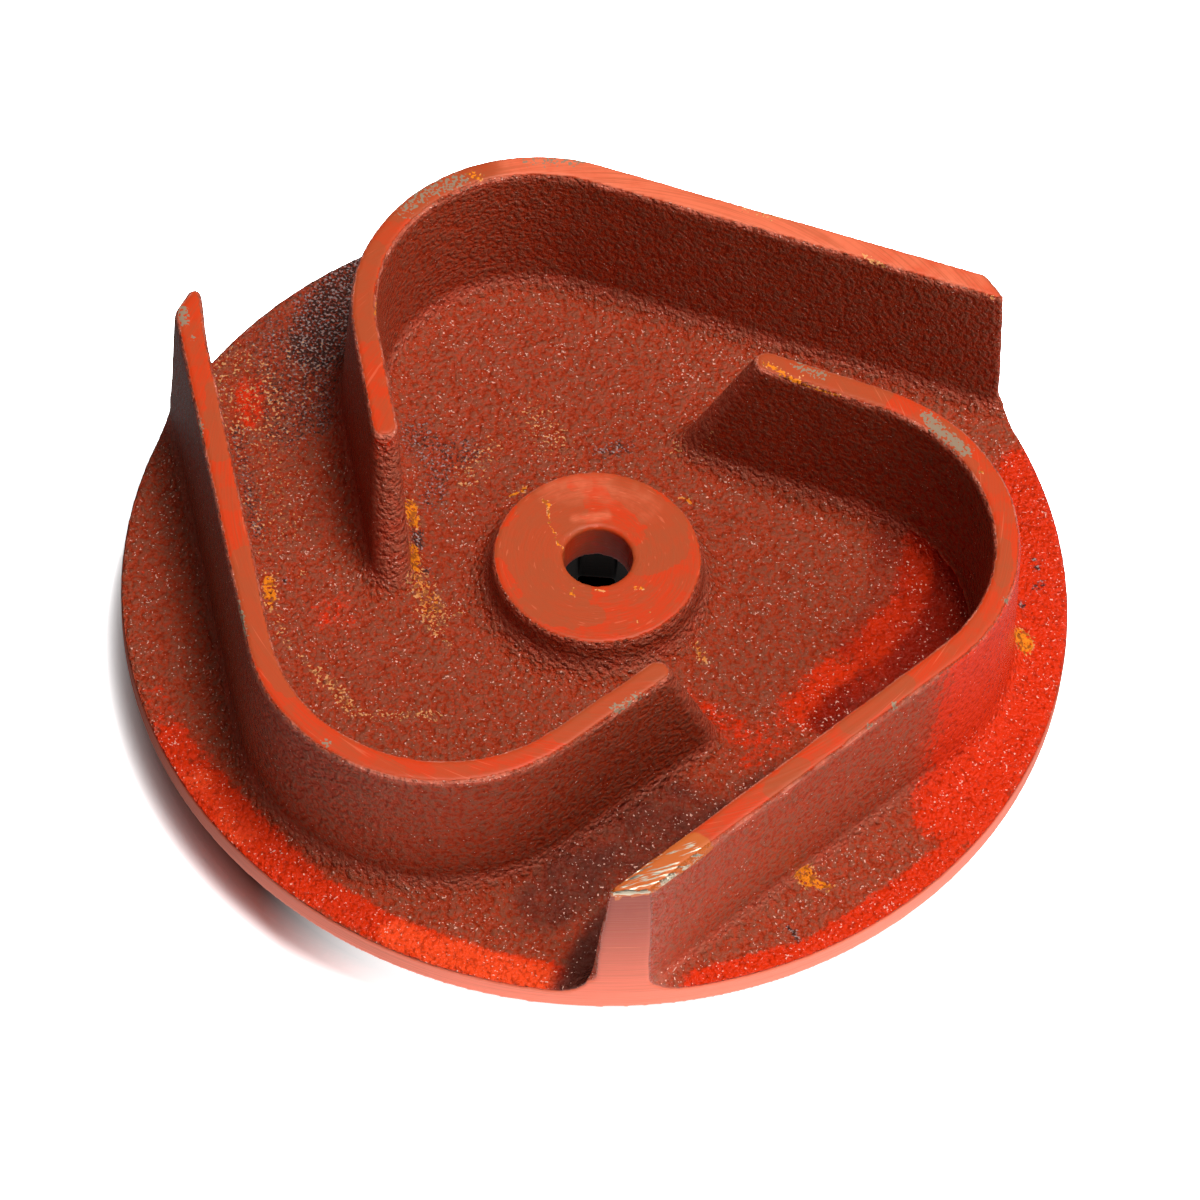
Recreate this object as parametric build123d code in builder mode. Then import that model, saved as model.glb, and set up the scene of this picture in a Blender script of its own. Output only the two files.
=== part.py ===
from build123d import *
import os
from math import asin, cos, radians, sin, tan

# Semi-open impeller of a centrifugal pump: one iron casting, turned on its rim, vane tips, vane tops
# and hub faces, and bored for a keyed shaft and its end bolt. +Z runs along the shaft towards the
# pump's inlet, and the origin is the centre of the rear hub face. Lengths are in millimetres and
# angles in degrees.

# Shroud: the flat disc that carries the vanes
impeller_diameter = 150.0
shroud_thickness = 4.6
turning_allowance = 5.0

# Front hub: the boss that the impeller bolt bears on
front_hub_diameter = 33.2
front_hub_height = 8.1
front_hub_draft = 5.0
front_hub_fillet = 4.5
bolt_hole_diameter = 11.0
bolt_web_thickness = 7.7

# Rear hub: the boss round the keyed shaft bore
rear_hub_diameter = 38.0
rear_hub_height = 12.0
rear_hub_draft = 3.0
rear_hub_fillet = 4.0
shaft_bore_diameter = 20.0
shaft_bore_chamfer = 0.8
keyway_width = 6.0
keyway_depth = 2.8

# Vanes: a short inlet straight, a tight bend near the rim and a long outlet straight that runs out
# over the rim, swept back against the rotation. The inlet straight's length is from the centre of its
# round leading edge to the bend, at the vane top, and that edge rakes forward towards the shroud.
vane_count = 3
vane_height = 27.8
vane_thickness = 4.2
vane_draft = 2.5
vane_root_fillet = 3.5
vane_tip_taper = 1.5
leading_edge_rake = 19.65
inlet_length = 19.1
inlet_heading = -16.5
bend_radius = 28.2
bend_turn = 118.0
bend_rim_gap = 9.3
bend_direction = -10.6

# Levels along the shaft, worked out from the sizes above
shroud_back = rear_hub_height
shroud_front = shroud_back + shroud_thickness
hub_front = shroud_front + front_hub_height
vane_top = shroud_front + vane_height
shaft_bore_end = hub_front - bolt_web_thickness

# Radii, worked out from the sizes above
rim_radius = impeller_diameter / 2
blank_radius = rim_radius + turning_allowance
vane_tip_radius = rim_radius - vane_height * tan(radians(vane_tip_taper))
front_hub_radius = front_hub_diameter / 2
front_hub_base_radius = front_hub_radius + front_hub_height * tan(radians(front_hub_draft))
rear_hub_radius = rear_hub_diameter / 2
rear_hub_base_radius = rear_hub_radius + rear_hub_height * tan(radians(rear_hub_draft))
shaft_bore_radius = shaft_bore_diameter / 2

# Centre line of the first vane, worked out from the sizes above
bend_centre_distance = rim_radius - bend_rim_gap - vane_thickness / 2 - bend_radius
bend_centre = Vector(bend_centre_distance, 0).rotate(Axis.Z, bend_direction)
inlet_direction = Vector(1, 0).rotate(Axis.Z, inlet_heading)
inlet_side = inlet_direction.rotate(Axis.Z, 90)
outlet_direction = inlet_direction.rotate(Axis.Z, -bend_turn)
bend_start = bend_centre + inlet_side * bend_radius

# Leading edge of the first vane: a raked cone that touches both drafted walls of the inlet straight, so
# its point is on the line where they would meet. It runs from above the vane's top into the shroud.
foot_drop = vane_height + shroud_thickness / 2
rake_slope = tan(radians(leading_edge_rake))
nose_angle = asin(sin(radians(vane_draft)) * cos(radians(leading_edge_rake)))
nose_direction = Vector(0, 0, 1) + inlet_direction * rake_slope
nose_top = bend_start - inlet_direction * inlet_length + Vector(0, 0, vane_top)
nose_foot = nose_top - nose_direction * foot_drop
nose_head = nose_top + nose_direction * vane_thickness
nose_point = nose_top + nose_direction * (vane_thickness / 2 / tan(radians(vane_draft)))
nose_plane = Plane(origin=nose_foot, x_dir=inlet_side, z_dir=nose_direction)
nose_length = (nose_head - nose_foot).length
nose_foot_radius = (nose_point - nose_foot).length * tan(nose_angle)
nose_head_radius = (nose_point - nose_head).length * tan(nose_angle)

# The cone touches each wall along a line, and this plane holds both lines
touch_direction = Vector(0, 0, 1) + inlet_direction * rake_slope / cos(radians(vane_draft)) ** 2
touch_plane = Plane(origin=nose_point, x_dir=inlet_side, z_dir=touch_direction.cross(inlet_side))


def at_level(shapes, level):
    """Those of the shapes whose centre lies at this level along the shaft."""
    return shapes.filter_by_position(Axis.Z, level - 0.01, level + 0.01)


def half_thickness(drop):
    """Half the vane's thickness at this distance below its top."""
    return vane_thickness / 2 + drop * tan(radians(vane_draft))


def inlet_section(drop):
    """Plan outline of the inlet straight, as a face at this distance below the vane's top.

    It is longer than the inlet straight, which is then cut back to its leading edge.
    """
    to_wall = inlet_side * half_thickness(drop)
    with BuildSketch(Plane.XY.offset(vane_top - drop)) as section:
        with BuildLine():
            Polyline(
                bend_start + to_wall,
                bend_start + to_wall - inlet_direction * rim_radius,
                bend_start - to_wall - inlet_direction * rim_radius,
                bend_start - to_wall,
                close=True,
            )
        make_face()
    return section.sketch.face()


def hook_section(drop):
    """Plan outline of the bend and the outlet straight, as a face this far below the vane's top.

    The outlet straight is as long as the impeller is wide, so that it always runs out over the rim.
    """
    half = half_thickness(drop)
    overrun = outlet_direction * impeller_diameter
    with BuildSketch(Plane.XY.offset(vane_top - drop)) as section:
        with BuildLine():
            outer = CenterArc(bend_centre, bend_radius + half, inlet_heading + 90, -bend_turn)
            inner = CenterArc(bend_centre, bend_radius - half, inlet_heading + 90, -bend_turn)
            Polyline(outer @ 1, (outer @ 1) + overrun, (inner @ 1) + overrun, inner @ 1)
            Line(inner @ 0, outer @ 0)
        make_face()
    return section.sketch.face()


# One vane as cast, with its foot sunk to the middle of the shroud
with BuildPart() as nose:
    with Locations(nose_plane):
        at_foot = (Align.CENTER, Align.CENTER, Align.MIN)
        Cone(nose_foot_radius, nose_head_radius, nose_length, align=at_foot)
    split(bisect_by=touch_plane, keep=Keep.TOP)
with BuildPart() as vane:
    loft(sections=[inlet_section(foot_drop), inlet_section(0)], ruled=True)
    split(bisect_by=touch_plane, keep=Keep.BOTTOM)
    add(nose.part)
    loft(sections=[hook_section(foot_drop), hook_section(0)], ruled=True)

with BuildPart() as impeller:
    # Shroud and hubs as cast, with stock on the rim
    with BuildSketch(Plane.XZ):
        with BuildLine():
            Polyline(
                (0, 0),
                (rear_hub_radius, 0),
                (rear_hub_base_radius, shroud_back),
                (blank_radius, shroud_back),
                (blank_radius, shroud_front),
                (front_hub_base_radius, shroud_front),
                (front_hub_radius, hub_front),
                (0, hub_front),
                close=True,
            )
        make_face()
    revolve(axis=Axis.Z)
    front_corner = at_level(impeller.edges(), shroud_front).sort_by(SortBy.RADIUS)[0]
    fillet(front_corner, front_hub_fillet)
    rear_corner = at_level(impeller.edges(), shroud_back).sort_by(SortBy.RADIUS)[0]
    fillet(rear_corner, rear_hub_fillet)

    # Vanes, with a fillet all along each root
    with PolarLocations(0, vane_count):
        add(vane.part)
    crossings = at_level(impeller.edges(Select.LAST), shroud_front)
    on_rim = crossings.filter_by(GeomType.CIRCLE).filter_by(lambda edge: edge.radius > rim_radius)
    fillet(crossings - on_rim, vane_root_fillet)

    # Rim and vane tips turned in one cut
    with BuildSketch(Plane.XZ):
        with BuildLine():
            Polyline(
                (0, 0),
                (rim_radius, 0),
                (rim_radius, shroud_front),
                (vane_tip_radius, vane_top),
                (0, vane_top),
                close=True,
            )
        make_face()
    revolve(axis=Axis.Z, mode=Mode.INTERSECT)

    # Keyed shaft bore, blind from the rear, and the bolt hole through the web that is left
    with BuildSketch(Plane.XY):
        Circle(shaft_bore_radius)
    extrude(amount=shaft_bore_end, mode=Mode.SUBTRACT)
    mouth = at_level(impeller.edges(), 0).sort_by(SortBy.RADIUS)[0]
    chamfer(mouth, shaft_bore_chamfer)
    with BuildSketch(Plane.XY):
        with Locations((0, shaft_bore_radius / 2 + keyway_depth / 2)):
            Rectangle(keyway_width, shaft_bore_radius + keyway_depth)
    extrude(amount=shaft_bore_end, mode=Mode.SUBTRACT)
    with Locations((0, 0, hub_front)):
        Hole(bolt_hole_diameter / 2)

os.makedirs("parts", exist_ok=True)
impeller.part.label = "impeller"
export_step(impeller.part, "parts/impeller.step")
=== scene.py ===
"""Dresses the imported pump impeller: a sand-cast iron casting with turned faces, painted red oxide."""

import math

import bmesh
import bpy
import numpy as np
from mathutils import Matrix, Vector


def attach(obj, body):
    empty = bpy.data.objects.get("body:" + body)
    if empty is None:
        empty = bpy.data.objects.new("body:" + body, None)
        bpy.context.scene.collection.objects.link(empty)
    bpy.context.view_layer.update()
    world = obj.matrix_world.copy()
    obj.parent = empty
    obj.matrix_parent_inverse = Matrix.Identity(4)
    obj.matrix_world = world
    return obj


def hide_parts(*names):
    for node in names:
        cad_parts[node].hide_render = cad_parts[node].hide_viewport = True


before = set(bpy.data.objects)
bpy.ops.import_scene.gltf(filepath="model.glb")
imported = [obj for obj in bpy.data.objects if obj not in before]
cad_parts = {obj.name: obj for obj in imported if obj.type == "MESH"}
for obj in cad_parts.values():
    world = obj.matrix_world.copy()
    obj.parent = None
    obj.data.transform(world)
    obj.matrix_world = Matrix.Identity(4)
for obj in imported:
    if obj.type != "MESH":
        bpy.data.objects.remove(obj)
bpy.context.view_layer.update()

bl_info = {
    "name": "Cast pump impeller",
    "version": (1, 0, 0),
    "blender": (4, 5, 0),
    "location": "3D View > Sidebar > Impeller",
    "description": "Builds the painted casting of a semi-open pump impeller and its studio",
    "category": "Object",
}

# Lengths below are in millimetres and angles in degrees, and MM turns a length to Blender's metres
MM = 0.001

# Levels and radii of the casting, and the taper of its turned vane tips, as the CAD model has them
SHROUD_FRONT = 16.6
WEB_BACK = 17.0
HUB_FRONT = 24.7
VANE_TOP = 44.4
RIM_RADIUS = 75.0
TIP_TAPER = math.tan(math.radians(1.5))

# Circles round the axis that take in the front hub's face, and the shaft bore with its keyway
HUB_FACE_REACH = 17.2
BORE_REACH = 13.4

# How far under a turned face's level a point still counts as on it
FACE_TOLERANCE = 0.05

# The sharp edge of the first vane's tip, between the turned rim and the vane's inner wall: its radius
# and its angle at the top, the degrees it leans for each millimetre down, and the angle of its wedge
TIP_RADIUS = 74.27
TIP_ANGLE = 86.2
TIP_LEAN = 0.058
TIP_WEDGE = 38.2

# Wear on the tips: where it starts going up, its radius there, how far from the edge the wall swells,
# and the level up to which the root fillet is left alone
WEAR_FOOT = 20.0
WEAR_FOOT_RADIUS = 0.35
SWELLING_REACH = 12.0
ROOT_TOP = SHROUD_FRONT + 3.0

# Each vane's turn in degrees from the first one, the radius that its tip is worn to at the top, and how
# much thicker the tip is than the CAD vane's
TIP_WEAR = ((0.0, 0.4, 0.0), (120.0, 0.6, 0.1), (240.0, 1.25, 1.0))

# Rounds of smoothing that take the CAD mesh's facets off the cast faces, and the bite off every edge
FACET_SMOOTHING = 24
EDGE_SMOOTHING = 3

# Corners sharper than this stay crisp, and the mesh is thinned to this many triangles
CRISP_ANGLE = 50.0
MOST_TRIANGLES = 190000

# The camera's place, its lens, and how far it looks down and is rolled
CAMERA_PLACE = (0.840, -594.352, 881.263)
CAMERA_LENS = 198.845
CAMERA_TILT = 55.621
CAMERA_ROLL = -4.364


def linear(hex_colour):
    """The linear RGBA of an sRGB colour written as a hex string."""
    channels = [int(hex_colour[i : i + 2], 16) / 255 for i in (1, 3, 5)]
    return tuple(c / 12.92 if c <= 0.04045 else ((c + 0.055) / 1.055) ** 2.4 for c in channels) + (1.0,)


def colour(hex_colour, name, description):
    """A colour property whose default is an sRGB hex value."""
    return bpy.props.FloatVectorProperty(
        name=name,
        description=description,
        subtype="COLOR",
        size=4,
        min=0.0,
        max=1.0,
        default=linear(hex_colour),
    )


def length(millimetres, name, description):
    """A length property, given in millimetres."""
    return bpy.props.FloatProperty(
        name=name,
        description=description,
        subtype="DISTANCE",
        unit="LENGTH",
        min=0.0,
        default=millimetres * MM,
        precision=5,
    )


def watts(power, name, description):
    """A power property, in watts."""
    return bpy.props.FloatProperty(name=name, description=description, unit="POWER", min=0.0, default=power)


class ImpellerCasting(bpy.types.PropertyGroup):
    """Sizes of the casting's surface."""

    voxel: length(0.42, "Voxel", "Spacing of the points that the casting is first meshed with")
    wave_size: length(13.0, "Wave size", "Size of the long waves that the sand mould leaves")
    wave_height: length(0.28, "Wave height", "Height of the long waves")
    lump_size: length(2.6, "Lump size", "Size of the small lumps that the sand mould leaves")
    lump_height: length(0.12, "Lump height", "Height of the small lumps")
    grain: length(0.8, "Grain", "Depth of the sand grain that the paint follows")
    tool_marks: length(0.04, "Tool marks", "Depth of the rings that turning leaves")


class ImpellerPaint(bpy.types.PropertyGroup):
    """Colours of the paint, the rust and the bare iron."""

    oxide: colour("#91402a", "Oxide paint", "Aged red oxide paint on the cast faces")
    oxide_red: colour("#ac310f", "Oxide paint, fresh", "Redder paint between the grains")
    # Painted sheen: a paler band of colour along the fillets, where the lamps' reflection lies
    painted_fillet_sheen: colour("#b25c46", "Oxide paint, pale", "Chalky paint in the fillets")
    oxide_dull: colour("#8a4630", "Oxide paint, dull", "Duller, browner paint on top of the grains")
    # Painted shadow: dark colour in the channel behind a vane's tip, where the vane's shadow falls
    channel_shadow: colour("#4e221a", "Dirt", "Dirt in the channel behind a vane's tip")
    # Painted shade: darkest colour in the deepest pits of the grain
    painted_pit_shade: colour("#3c0f07", "Pit", "Dirt in the deepest pits of the grain")
    # Painted highlights: grains coloured bright, most where they face up towards the lamps
    glint: colour("#f2b8a4", "Glint", "Grains that the paint left bright")
    # Partly rubbed paint, partly a painted highlight along the dulled edges of the vane tops
    rubbed: colour("#e27e64", "Rubbed edge", "Paint rubbed pale on the edges of the vane tops")
    # Painted shade: the rear bore, unpainted iron, is coloured near black where it lies in shadow
    bore: colour("#100d0c", "Bore", "Dark, unpainted iron in the rear bore")
    scarlet: colour("#d62b03", "Scarlet paint", "Glossy paint where it ran thick on the cast faces")
    vivid: colour("#f4481c", "Scarlet paint, vivid", "Brightest paint, along the rim")
    # Painted shade: dark red on the floor at the foot of a vane's inner wall, in its shadow
    painted_shade_red: colour("#7c1003", "Scarlet paint, deep", "Darkest paint, where it ran thickest")
    turned: colour("#c4360f", "Paint on turned faces", "Thin paint on the turned faces")
    turned_aged: colour("#9c4826", "Aged paint on turned faces", "Browner paint on the turned faces")
    # Used for real scratches, and for painted sheen where the lamps' reflection lies on the tops and hub
    turned_pale_and_sheen: colour("#dd6c4a", "Pale paint on turned faces", "Paint rubbed thin on the turned faces")
    # Painted shade: the turned tips are coloured browner towards the top, where less light comes up from
    # the paper
    tip: colour("#801c02", "Paint high on the tips", "Browner paint high on the turned vane tips")
    salmon: colour("#d96244", "Paint on the rim", "Pale thin paint on the turned rim and vane tips")
    stain: colour("#3e201a", "Stain", "Dark stain where the paint has lifted from damp iron")
    stain_pale: colour("#b49c98", "Stain, pale", "Pale grains in the stain")
    worn: colour("#8c7660", "Worn paint", "Thin worn paint over the iron on the vane tops")
    rust: colour("#e07a0c", "Rust", "Fresh orange rust")
    rust_pale: colour("#d8955f", "Rust, pale", "Paler crumbs in the rust")
    rust_dark: colour("#80380e", "Rust, dark", "Old rust between the fresh lumps")
    scraped: colour("#b85a24", "Scraped paint", "Orange-brown film left where the top was scraped")
    bare: colour("#b9ad98", "Bare iron", "Iron scraped bare")


class ImpellerStudio(bpy.types.PropertyGroup):
    """Lights and floor."""

    key_power: watts(32.0, "Key power", "Power of the softbox high above, a little to the right")
    fill_power: watts(8.6, "Fill power", "Power of the low softbox on the right")
    spark_power: watts(0.7, "Spark power", "Power of the small lamp that makes the paint glint")


def add_node(tree, kind, inputs=None, **settings):
    """Adds a node with its settings, input values and links, and gives the output it uses."""
    node = tree.nodes.new(kind)
    for name, value in settings.items():
        setattr(node, name, value)
    for socket, value in (inputs or {}).items():
        if isinstance(value, bpy.types.NodeSocket):
            tree.links.new(value, node.inputs[socket])
        else:
            node.inputs[socket].default_value = value
    return next(output for output in node.outputs if output.enabled)


def apply_modifiers(piece):
    """Bakes a piece's modifiers into its mesh."""
    graph = bpy.context.evaluated_depsgraph_get()
    finished = bpy.data.meshes.new_from_object(piece.evaluated_get(graph))
    piece.modifiers.clear()
    piece.data = finished


def points_of(mesh):
    """The mesh's points in millimetres, one row each."""
    flat = np.empty(len(mesh.vertices) * 3, dtype=np.float32)
    mesh.vertices.foreach_get("co", flat)
    return flat.reshape(-1, 3).astype(float) / MM


def triangle_count(mesh):
    """How many triangles the mesh's faces make."""
    mesh.calc_loop_triangles()
    return len(mesh.loop_triangles)


def over_turned_faces(points):
    """Height of each point over the nearest turned or bored face: about 0 on it, and negative under it."""
    far_under = -9.0
    around = np.hypot(points[:, 0], points[:, 1])
    height = points[:, 2]
    rim = around + np.maximum(height - SHROUD_FRONT, 0.0) * TIP_TAPER - RIM_RADIUS
    top = height - VANE_TOP
    hub = np.where((around < HUB_FACE_REACH) & (height < HUB_FRONT + 1.0), height - HUB_FRONT, far_under)
    rear = -height
    bore = np.where(around < BORE_REACH, 0.0, far_under)
    return np.max([rim, top, hub, rear, bore], axis=0)


def worn_tips(points):
    """The points with the sharp edge of each vane's tip worn round, most at the top."""
    points = points.copy()
    wedge = math.radians(TIP_WEDGE)
    edge_angle = np.radians(-TIP_ANGLE - TIP_LEAN * (VANE_TOP - points[:, 2]))
    up = np.clip((points[:, 2] - WEAR_FOOT) / (VANE_TOP - WEAR_FOOT), 0.0, 1.0)
    for turn, top_radius, swelling in TIP_WEAR:
        around = edge_angle + math.radians(turn)
        radius = WEAR_FOOT_RADIUS + (top_radius - WEAR_FOOT_RADIUS) * up**2
        swollen = swelling * np.minimum(up * 2.0, 1.0)
        outward, along_rim, along_wall, off_wall, nose_way = (
            np.column_stack((np.cos(around + side), np.sin(around + side)))
            for side in (0.0, math.pi / 2, math.pi / 2 + wedge, math.pi + wedge, wedge / 2 - math.pi / 2)
        )
        edge = TIP_RADIUS * outward
        # The inner wall swells towards the tip, and the rim's face stays where it is
        from_edge = points[:, :2] - edge
        near = np.clip(1.0 - np.hypot(*from_edge.T) / SWELLING_REACH, 0.0, 1.0)
        run = np.maximum((from_edge * along_wall).sum(axis=1), 0.3)
        across = np.clip(1.0 + (from_edge * off_wall).sum(axis=1) / (run * math.tan(wedge)), 0.0, 1.0)
        points[:, :2] += off_wall * (swollen * across * near**1.5 * np.minimum(run, 1.0))[:, None]
        # A round nose touches the rim's face and the swollen wall
        slide = (radius * (1.0 + math.cos(wedge)) - swollen) / math.sin(wedge)
        nose = edge + along_rim * slide[:, None] - outward * radius[:, None]
        away = points[:, :2] - nose
        reach = np.hypot(*away.T)
        beyond = (away * nose_way).sum(axis=1) > radius * math.sin(wedge / 2)
        cut = beyond & (near > 0.2) & (reach > radius) & (points[:, 2] > ROOT_TOP)
        points[cut, :2] = nose[cut] + away[cut] * (radius[cut] / reach[cut])[:, None]
    return points


def on_seen_turned_face(points):
    """Whether each point is on the vane tops or the front hub face."""
    around = np.hypot(points[:, 0], points[:, 1])
    hub = (np.abs(points[:, 2] - HUB_FRONT) < 2 * FACE_TOLERANCE) & (around < HUB_FACE_REACH)
    return hub | (points[:, 2] > VANE_TOP - 2 * FACE_TOLERANCE)


def add_group(piece, name, chosen):
    """Adds a vertex group that holds the chosen points."""
    group = piece.vertex_groups.new(name=name)
    group.add(np.flatnonzero(chosen).tolist(), 1.0, "REPLACE")


def smooth(piece, name, times, group=""):
    """Evens out the piece's surface, or the part of it in the group."""
    ease = piece.modifiers.new(name, "SMOOTH")
    ease.factor = 0.5
    ease.iterations = times
    ease.vertex_group = group


def displace(piece, name, size, height, group):
    """Pushes the piece's surface in and out by a clouds pattern of this size and height, in metres."""
    texture = bpy.data.textures.new(name, "CLOUDS")
    texture.noise_scale = size
    texture.noise_depth = 1
    push = piece.modifiers.new(name, "DISPLACE")
    push.texture = texture
    push.texture_coords = "LOCAL"
    push.strength = height
    push.mid_level = 0.5
    push.vertex_group = group


def cast_iron_mesh(settings):
    """A fine, slightly uneven mesh of the CAD casting, with worn tips and dulled edges."""
    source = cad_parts["impeller"]
    edit = bmesh.new()
    edit.from_mesh(source.data)
    bmesh.ops.remove_doubles(edit, verts=edit.verts, dist=1e-6)
    merged = bpy.data.meshes.new("merged_casting")
    edit.to_mesh(merged)
    edit.free()
    casting = bpy.data.objects.new("casting", merged)
    bpy.context.scene.collection.objects.link(casting)
    remesh = casting.modifiers.new("Even points", "REMESH")
    remesh.mode = "VOXEL"
    remesh.voxel_size = settings.voxel
    apply_modifiers(casting)

    points = worn_tips(points_of(casting.data))
    casting.data.vertices.foreach_set("co", (points * MM).astype(np.float32).ravel())
    add_group(casting, "as_cast", over_turned_faces(points) < -FACE_TOLERANCE)
    smooth(casting, "Round the facets", FACET_SMOOTHING, "as_cast")
    displace(casting, "Mould waves", settings.wave_size, settings.wave_height, "as_cast")
    displace(casting, "Mould lumps", settings.lump_size, settings.lump_height, "as_cast")
    smooth(casting, "Dull the edges", EDGE_SMOOTHING)
    apply_modifiers(casting)

    casting.vertex_groups.clear()
    add_group(casting, "may_be_thinned", ~on_seen_turned_face(points_of(casting.data)))
    thin = casting.modifiers.new("Fewer faces", "DECIMATE")
    thin.ratio = min(1.0, MOST_TRIANGLES / triangle_count(casting.data))
    thin.vertex_group = "may_be_thinned"
    apply_modifiers(casting)
    casting.vertex_groups.clear()
    casting.data.shade_smooth()
    casting.data.set_sharp_from_angle(angle=math.radians(CRISP_ANGLE))
    flatten = casting.modifiers.new("Flat faces stay flat", "WEIGHTED_NORMAL")
    flatten.keep_sharp = True
    apply_modifiers(casting)
    return casting


# Lowest and highest level of the parts of the casting that marks lie on
FLOOR = (12.0, 19.5)
WALLS = (16.0, 44.2)
HUB = (24.0, 25.2)
TOPS = (43.6, 45.0)

# Marks on the casting. Each is its half width, its strength, its lowest and highest level, and the
# points (x, y) that it runs through. A strength over 1 makes a mark fuller, out to its edge.

SCARLET_MARKS = (
    (8.0, 1.0, FLOOR, ((55.0, 14.0), (53.0, 0.0), (47.0, -8.0))),
    (7.0, 0.62, FLOOR, ((45.0, -8.0), (40.0, -14.0), (35.0, -20.0))),
    (6.0, 0.34, FLOOR, ((35.0, -20.0), (26.0, -30.0))),
    (4.0, 0.42, FLOOR, ((14.0, -20.0), (19.4, -23.0), (27.0, -27.0))),
    (6.0, 0.34, FLOOR, ((-40.6, -9.5),)),
    (5.0, 0.12, FLOOR, ((-34.0, -18.0), (-24.0, -22.0), (-14.0, -26.0))),
    (5.0, 0.12, FLOOR, ((-20.0, -3.0), (-22.0, 6.0), (-20.0, 14.0))),
    (4.0, 0.5, FLOOR, ((-57.5, 27.9), (-58.0, 33.0))),
    (4.0, 0.12, FLOOR, ((-72.0, -5.0), (-68.0, -14.0), (-67.0, -25.0))),
    (4.0, 0.3, FLOOR, ((-67.0, -27.0), (-65.0, -32.0))),
    (5.0, 0.62, FLOOR, ((-64.0, -35.0), (-59.0, -42.0))),
    (5.0, 0.95, FLOOR, ((-59.0, -42.0), (-50.0, -52.0), (-42.0, -59.0))),
    (3.6, 1.0, FLOOR, ((-42.0, -59.0), (-28.0, -66.5), (-13.0, -71.5), (-2.0, -73.0))),
    (9.0, 1.0, WALLS, ((69.0, 27.0), (70.0, 0.0), (66.0, -20.0))),
    (9.0, 1.0, WALLS, ((66.0, -20.0), (58.5, -37.0))),
    (3.0, 0.95, FLOOR, ((58.0, -45.0), (46.0, -57.0), (38.0, -64.0), (20.0, -72.0))),
    (2.8, 0.45, (24.0, 43.6), ((-34.6, 6.5),)),
)
VIVID_MARKS = (
    (3.5, 0.45, FLOOR, ((-59.0, -42.0), (-51.0, -51.5))),
    (3.8, 1.0, FLOOR, ((-26.0, -67.5), (-13.0, -71.5), (-4.0, -73.0))),
)
# Painted shade along the foot of a vane's inner wall on the right
WALL_FOOT_SHADE_MARKS = (
    (8.0, 1.0, FLOOR, ((52.0, 22.0), (57.5, 10.0), (57.0, -2.0), (50.0, -12.0))),
    (6.0, 0.8, FLOOR, ((50.0, -12.0), (45.0, -14.0), (38.0, -22.0))),
    (10.0, 0.6, FLOOR, ((48.0, 14.0), (48.0, 2.0), (43.0, -7.0))),
)
# Painted shadow in the channel behind the front vane's tip
CHANNEL_SHADOW_MARKS = (
    (6.5, 1.0, FLOOR, ((2.0, -76.0), (5.5, -66.0), (14.0, -54.0), (24.0, -43.0))),
    (8.0, 0.7, FLOOR, ((24.0, -43.0), (33.0, -35.0))),
    (9.0, 0.62, FLOOR, ((-4.0, -60.0), (7.0, -49.0), (16.0, -41.0))),
)
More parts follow.
